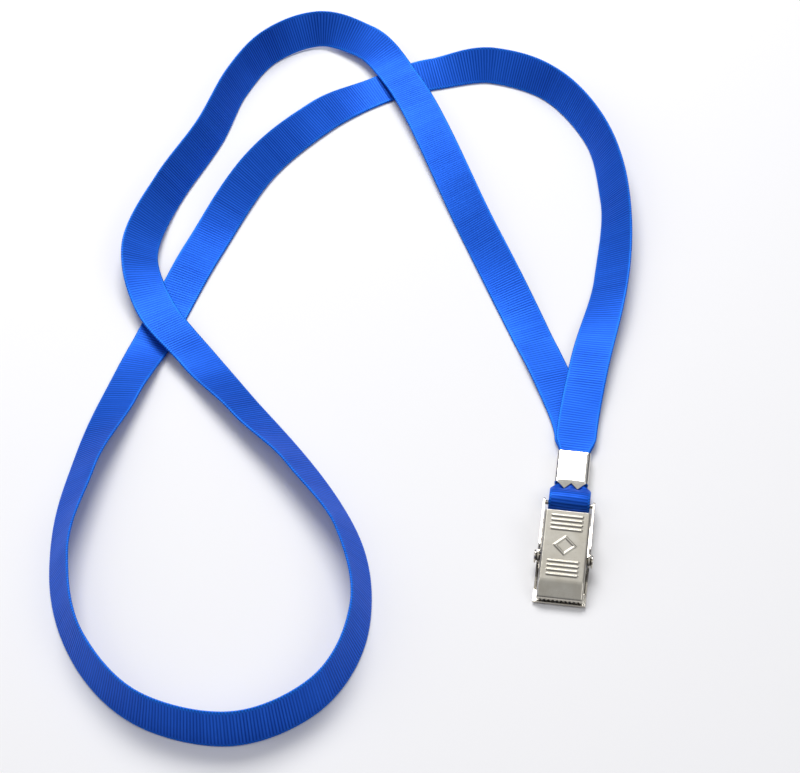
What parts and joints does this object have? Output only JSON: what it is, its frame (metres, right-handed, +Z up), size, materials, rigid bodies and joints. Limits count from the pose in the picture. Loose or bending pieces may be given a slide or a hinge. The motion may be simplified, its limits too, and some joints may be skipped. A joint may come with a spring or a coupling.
{
  "type": "lanyard badge holder",
  "caption": "Flat ribbon neck loop with a crimped badge loop and a sprung metal clip that pivots open to bite on a badge.",
  "frame": {"origin": "on the surface that the clip lies on, under the middle of the clip, badge loop and crimp together", "axes": "+Z up from that surface, +Y along the clip from its jaws to the strap, X across the clip along its rivet"},
  "size_m": [0.1332, 0.2393, 0.0098],
  "materials": {
    "ribbon": "woven grosgrain, soft satin sheen",
    "plating": "satin nickel plating with a fine grain",
    "polished": "polished nickel plating",
    "spring_wire": "drawn spring wire"
  },
  "bodies": {
    "strap": {"neck_ribbon": "ribbon", "badge_loop": "ribbon", "crimp": "polished"},
    "clip_body": {"back_jaw": "plating", "pivot_rivet": "polished", "torsion_spring": "spring_wire"},
    "lever": {"front_jaw": "plating"}
  },
  "joints": [
    {"name": "clip_swing", "type": "hinge", "parent": "strap", "child": "clip_body", "pos_m": [0, 0.00611, 0.00235], "axis": [1, 0, 0], "range_deg": [-75, 60]},
    {"name": "jaw_open", "type": "hinge", "parent": "clip_body", "child": "lever", "pos_m": [0, -0.01069, 0.0032], "axis": [-1, 0, 0], "range_deg": [0, 24], "stiffness_Nm_per_rad": 0.03, "springref_deg": -68.75, "deforming": ["torsion_spring"]}
  ]
}
